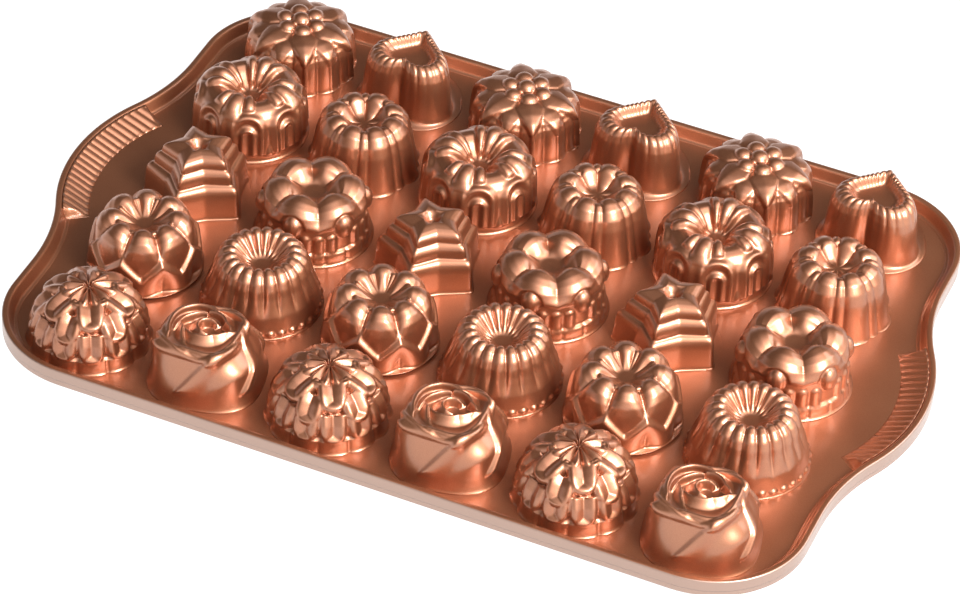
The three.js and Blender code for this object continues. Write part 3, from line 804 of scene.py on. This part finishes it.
for row, pair in enumerate(designRows):
    for first, (kind, settings, design) in enumerate(pair):
        field = CupField(settings)
        relief, outline, footCircle = design(field, settings)
        relief = relief + field.zero
        skin = cupSurface(field, relief, outline, footCircle)
        points, faces = cupMesh(skin, cupLining(field, relief, outline))
        for number, column in enumerate(range(first, pan["columns"], len(pair)), 1):
            node = f"{kind}_{number}"
            placed = points + gridPlace(column, row)
            makePiece(node.replace("_cup", "Cup"), placed, faces, cupCoat, node)
    print("row", row + 1, "of cups made")


# Tray outline: round corners, hollow necks and bowed handles; every arc keeps its centre when set in

tray = {
    "halfLength": 182.0, "halfWidth": 137.8, "corner": 43.0,
    "handleReach": 18.3, "handle": 86.0, "neck": 90.0,
    "rimHeight": 5.4, "rimLip": 2.8, "rimSlope": 2.2, "rimFoot": 1.6, "rimFootHeight": 0.25,
    "rimBlur": 0.45, "rimStations": 26, "rimSink": 0.002,
    "cornerSteps": 24, "neckSteps": 12, "handleSteps": 64, "sideSteps": 40,
}
tray["handleX"] = tray["halfLength"] + tray["handleReach"] - tray["handle"]


def trayOutline(inset):
    # right end from the front corner to the back corner, then the same turned half round
    s = tray
    neckX = s["halfLength"] + s["neck"]
    neckAway = neckX - s["handleX"]
    neckY = math.sqrt((s["handle"] + s["neck"]) ** 2 - neckAway ** 2)
    bow = math.atan2(neckY, neckAway)
    cornerX = s["halfLength"] - s["corner"]
    cornerY = s["halfWidth"] - s["corner"]

    def arc(x, y, radius, start, end, steps):
        turn = np.linspace(start, end, steps + 1)
        return np.stack([x + radius * np.cos(turn), y + radius * np.sin(turn)], 1)

    end = np.concatenate([
        arc(cornerX, -cornerY, s["corner"] - inset, -math.pi / 2, 0, s["cornerSteps"]),
        arc(neckX, -neckY, s["neck"] + inset, math.pi, math.pi - bow, s["neckSteps"]),
        arc(s["handleX"], 0, s["handle"] - inset, -bow, bow, s["handleSteps"])[1:-1],
        arc(neckX, neckY, s["neck"] + inset, math.pi + bow, math.pi, s["neckSteps"]),
        arc(cornerX, cornerY, s["corner"] - inset, 0, math.pi / 2, s["cornerSteps"]),
    ])
    side = np.linspace(end[-1], -end[0], s["sideSteps"] + 2)[1:-1]
    half = np.concatenate([end, side])
    return np.concatenate([half, -half])


def atHeight(line, z):
    # a line in plan, at one height
    return np.c_[line, np.full(len(line), z)]


def roundedSection(corners, blur, count):
    # an open polyline with its corners rounded, sampled evenly; the blur narrows towards the two ends
    corners = np.array(corners, float)
    lengths = lengthsAlong(corners)
    even = np.linspace(0, lengths[-1], count)
    reach = blurReach * blur
    samples = 41
    fine = np.linspace(-reach, reach, samples)
    weights = gauss(fine, blur)
    inside = np.minimum(np.minimum(even, lengths[-1] - even), reach)[:, None]
    spread = even[:, None] + fine[None, :] * (inside / reach)
    both = [np.interp(spread, lengths, corners[:, k]) @ weights / weights.sum() for k in (0, 1)]
    return np.stack(both, 1)


def makeRim():
    # section of (inset, height) carried round the outline: upright wall, rounded lip, slope and a soft foot
    s = tray
    slopeEnd = s["rimLip"] + s["rimSlope"]
    footEnd = slopeEnd + s["rimFoot"]
    corners = [(0, 0), (0, s["rimHeight"]), (s["rimLip"], s["rimHeight"]),
               (slopeEnd, s["rimFootHeight"]), (footEnd, 0)]
    section = roundedSection(corners, s["rimBlur"], s["rimStations"])
    section = np.concatenate([section, [[footEnd, -s["rimSink"]]]])
    grid = np.array([atHeight(trayOutline(inset), z + pan["deckTop"]) for inset, z in section])
    rows, sides = grid.shape[:2]
    j = np.arange(sides)
    k = (j + 1) % sides
    last = (rows - 1) * sides
    foot = np.stack([last + j, last + k, k, j], 1)
    makePiece("rim", grid.reshape(-1, 3), [ringQuads(rows, sides), foot], trayCoat, "rim")


deck = {
    "cellSteps": 16,  # points along each side of a cup's cell
    "lipSteps": 6,
    "cornerGap": 4.0,  # the cells end this far inside the tray's round corners
    "edgeRound": 0.8,  # lower edge of the plate
}


def rectangle(halfX, halfY, stepsX, stepsY):
    # points round a rectangle, from its front left corner
    x = np.linspace(-halfX, halfX, stepsX + 1)[:-1]
    y = np.linspace(-halfY, halfY, stepsY + 1)[:-1]
    return np.concatenate([
        np.stack([x, np.full(stepsX, -halfY)], 1), np.stack([np.full(stepsY, halfX), y], 1),
        np.stack([-x, np.full(stepsX, halfY)], 1), np.stack([np.full(stepsY, -halfX), -y], 1),
    ])


def tucked(grid):
    # corners of the outermost cells drawn inside the round corners of the tray
    limit = tray["corner"] - deck["cornerGap"]
    middle = np.array([tray["halfLength"], tray["halfWidth"]]) - tray["corner"]
    beyond = np.maximum(np.abs(grid[..., :2]) - middle, 0)
    far = np.hypot(beyond[..., 0], beyond[..., 1])
    past = (beyond.min(-1) > 0) & (far > limit)
    scale = np.where(past, limit / np.maximum(far, 1), 1)[..., None]
    pulled = np.sign(grid[..., :2]) * (middle + beyond * scale)
    grid = grid.copy()
    grid[..., :2] = np.where(scale < 1, pulled, grid[..., :2])
    return grid


def makeDeck():
    # plate: one square cell of rings round each mouth, a border out to the outline, on both faces,
    # with the mouths' walls and rounded lower lips
    s = deck
    halfX, halfY = pan["columnPitch"] / 2, pan["rowPitch"] / 2
    top, lip, mouth = pan["deckTop"], pan["mouthLip"], pan["mouthRadius"]
    edge = rectangle(halfX, halfY, s["cellSteps"], s["cellSteps"])
    circle = edge / np.hypot(edge[:, 0], edge[:, 1])[:, None]
    rings = [atHeight(edge, top), atHeight(circle * mouth, top)]
    for a in np.linspace(0, math.pi / 2, s["lipSteps"]):
        rings.append(atHeight(circle * (mouth + lip * (1 - math.cos(a))), lip * (1 - math.sin(a))))
    rings.append(atHeight(edge, 0))
    cell = np.array(rings)
    points, faces = [], []
    for row in range(pan["rows"]):
        for column in range(pan["columns"]):
            faces.append(ringQuads(len(cell), len(edge), sum(len(p) for p in points)))
            points.append(tucked(cell + gridPlace(column, row) * [1, 1, 0]).reshape(-1, 3))
    # border: the outline against the block of cells, matched by direction from the middle
    block = tucked(rectangle(halfX * pan["columns"], halfY * pan["rows"],
                             s["cellSteps"] * pan["columns"], s["cellSteps"] * pan["rows"]))
    outline = trayOutline(0)
    angles = np.unwrap(np.arctan2(outline[:, 1], outline[:, 0]))
    want = np.unwrap(np.arctan2(block[:, 1], block[:, 0]))
    order = np.concatenate([angles - 2 * math.pi, angles, angles + 2 * math.pi])
    outer = np.stack([np.interp(want, order, np.tile(outline[:, k], 3)) for k in (0, 1)], 1)
    inset = outer * (1 - s["edgeRound"] / np.hypot(outer[:, 0], outer[:, 1])[:, None])
    border = np.array([
        atHeight(block, 0), atHeight(inset, 0), atHeight(outer, s["edgeRound"]),
        atHeight(outer, top), atHeight(block, top),
    ])
    faces.append(ringQuads(len(border), len(block), sum(len(p) for p in points)))
    points.append(border.reshape(-1, 3))
    piece = makePiece("deck", np.concatenate(points), faces, trayCoat, "deck")
    piece.data.polygons.foreach_set("use_smooth", np.zeros(len(piece.data.polygons), bool))


grip = {
    "width": 11.5, "outerHalf": 43.0, "innerHalf": 36.0, "fromLip": 0.4, "slopePower": 0.9,
    "ridges": 22, "ridgedLength": 82.0, "depth": 0.8, "ridgePower": 0.8,
    # shares of the width where the ridges fade, and of the length where the grip ends
    "ridgeOut": (0, 0.08), "ridgeIn": (1.0, 0.9), "ends": (1.0, 0.93),
    "sink": 0.001, "across": 14, "along": 221,
}


def makeGrip(name, node, side):
    # wedge between the rim's lip and the deck along the handle's arc; round ridges that run along X
    s = grip
    a = np.linspace(0, 1, s["across"])[None, :]
    b = np.linspace(-1, 1, s["along"])[:, None]
    y = b * (s["outerHalf"] + (s["innerHalf"] - s["outerHalf"]) * a)
    inset = tray["rimLip"] + s["fromLip"] + s["width"] * a
    x = tray["handleX"] + np.sqrt((tray["handle"] - inset) ** 2 - y ** 2)
    wave = np.abs(np.cos(np.pi * y / s["ridgedLength"] * s["ridges"])) ** s["ridgePower"]
    slope = tray["rimHeight"] * (1 - a) ** s["slopePower"]
    z = slope - s["depth"] * (1 - wave) * rise(*s["ridgeOut"], a) * rise(*s["ridgeIn"], a)
    z = np.maximum(z * rise(*s["ends"], np.abs(b)), 0.0)
    topSheet = np.stack([x, y, z + pan["deckTop"]], 2)
    base = np.stack([x, y, np.full_like(z, pan["deckTop"] - s["sink"])], 2)
    rows, columns = z.shape
    grid = np.concatenate([topSheet.reshape(-1, 3), base.reshape(-1, 3)])
    n = rows * columns
    index = np.arange(n).reshape(rows, columns)
    loop = np.concatenate([index[0, :-1], index[:-1, -1], index[-1, :0:-1], index[:0:-1, 0]])
    following = np.roll(loop, -1)
    walls = np.stack([loop, loop + n, following + n, following], 1)
    faces = [sheetQuads(rows, columns), sheetQuads(rows, columns, n)[:, ::-1], walls]
    makePiece(name, grid * [side, side, 1], faces, gripCoat, node)


makeRim()
makeDeck()
makeGrip("rightGrip", "right_grip", 1)
makeGrip("leftGrip", "left_grip", -1)
print("tray made")


# Camera, floor and light

view = {
    "pitch": pan["columnPitch"],  # the camera was fitted in cup pitches
    "place": (9.13225, -23.92421, 21.89415),
    "right": (0.91728993, 0.39549891, 0.04647362),
    "down": (0.29076195, -0.58544492, -0.75677721),
    "ahead": (-0.27209682, 0.70769687, -0.65201876),
    "lens": 162.86, "sensor": 36.0, "clipStart": 0.05,
}


def makeCamera():
    s = view
    data = bpy.data.cameras.new("camera")
    data.lens = s["lens"]
    data.sensor_width = s["sensor"]
    data.clip_start = s["clipStart"]
    camera = addObject("camera", data)
    turn = Matrix([s["right"], [-v for v in s["down"]], [-v for v in s["ahead"]]]).transposed().to_4x4()
    where = [v * s["pitch"] * mm for v in s["place"]]
    where[2] += pan["deckTop"] * mm
    camera.matrix_world = Matrix.Translation(where) @ turn
    scene.camera = camera


light = {
    # place, size in metres, watts
    "key": ((1.2, -0.5, 1.2), (0.8, 0.8), 44.0),
    "back": ((0.55, 0.35, 0.4), (0.4, 0.4), 1.8),
    # backdrop: its strength low down and overhead, and where it falls from one to the other
    "horizon": 0.74, "zenith": 0.04, "bandTop": 0.45, "bandFoot": 0.15,
    # soft light from the front
    "front": 2.4, "frontTurn": -32.0, "frontUp": 52.0, "frontPower": 4.0,
}


def makeLight():
    s = light
    for name in ("key", "back"):
        place, size, power = s[name]
        data = bpy.data.lights.new(name, "AREA")
        data.shape = "RECTANGLE"
        data.size, data.size_y = size
        data.energy = power
        lamp = addObject(name, data)
        lamp.location = place
        aim = -lamp.location
        lamp.rotation_euler = aim.to_track_quat("-Z", "Y").to_euler()
    # white backdrop round the horizon that falls off to a dim ceiling; the camera sees plain white
    scene.world = bpy.data.worlds.new("studio")
    start = nodesOf(scene.world)
    seen = start.out(start.node("ShaderNodeLightPath"), "Is Camera Ray")
    place = start.out(start.node("ShaderNodeTexCoord"), "Generated")
    up = start.out(start.node("ShaderNodeSeparateXYZ", Vector=place), "Z")
    low = start.out(start.node("ShaderNodeMapRange", {"interpolation_type": "SMOOTHSTEP"}, Value=up,
                               From_Min=s["bandTop"], From_Max=s["bandFoot"],
                               To_Min=s["zenith"], To_Max=s["horizon"]))
    turn, climb = math.radians(s["frontTurn"]), math.radians(s["frontUp"])
    toFront = (math.cos(turn) * math.cos(climb), math.sin(turn) * math.cos(climb), math.sin(climb))
    facing = start.math("MAXIMUM", start.dot(place, toFront), 0.0)
    low = low + s["front"] * facing ** s["frontPower"]
    strength = low + seen * (1 - low)
    sky = start.tree.nodes["Background"]
    sky.inputs["Color"].default_value = (1, 1, 1, 1)
    strength.feed(sky.inputs["Strength"])


ground = {
    "half": 40.0, "drop": 0.0002,  # metres
    "tone": 0.86, "glow": 1.25, "glowShare": 0.85,
}


def makeFloor():
    # large pale sheet: it shows white to the camera and in reflections and keeps a soft shadow
    s = ground
    half = s["half"]
    mesh = bpy.data.meshes.new("floor")
    corners = [(-half, -half, 0), (half, -half, 0), (half, half, 0), (-half, half, 0)]
    mesh.from_pydata(corners, [], [(0, 1, 2, 3)])
    floor = addObject("floor", mesh)
    material = bpy.data.materials.new("paleFloor")
    start = nodesOf(material)
    diffuse = start.out(start.node("ShaderNodeBsdfDiffuse", Color=(s["tone"], s["tone"], s["tone"], 1)))
    glow = start.out(start.node("ShaderNodeEmission", Color=(1, 1, 1, 1), Strength=s["glow"]))
    path = start.node("ShaderNodeLightPath")
    shown = start.math("MAXIMUM", start.out(path, "Is Camera Ray"), start.out(path, "Is Glossy Ray"))
    mix = start.node("ShaderNodeMixShader", n0=s["glowShare"] * shown, n1=diffuse, n2=glow)
    start.out(mix).feed(start.tree.nodes["Material Output"].inputs["Surface"])
    mesh.materials.append(material)
    floor.location.z = -s["drop"]


makeCamera()
makeLight()
makeFloor()
print("stage made")
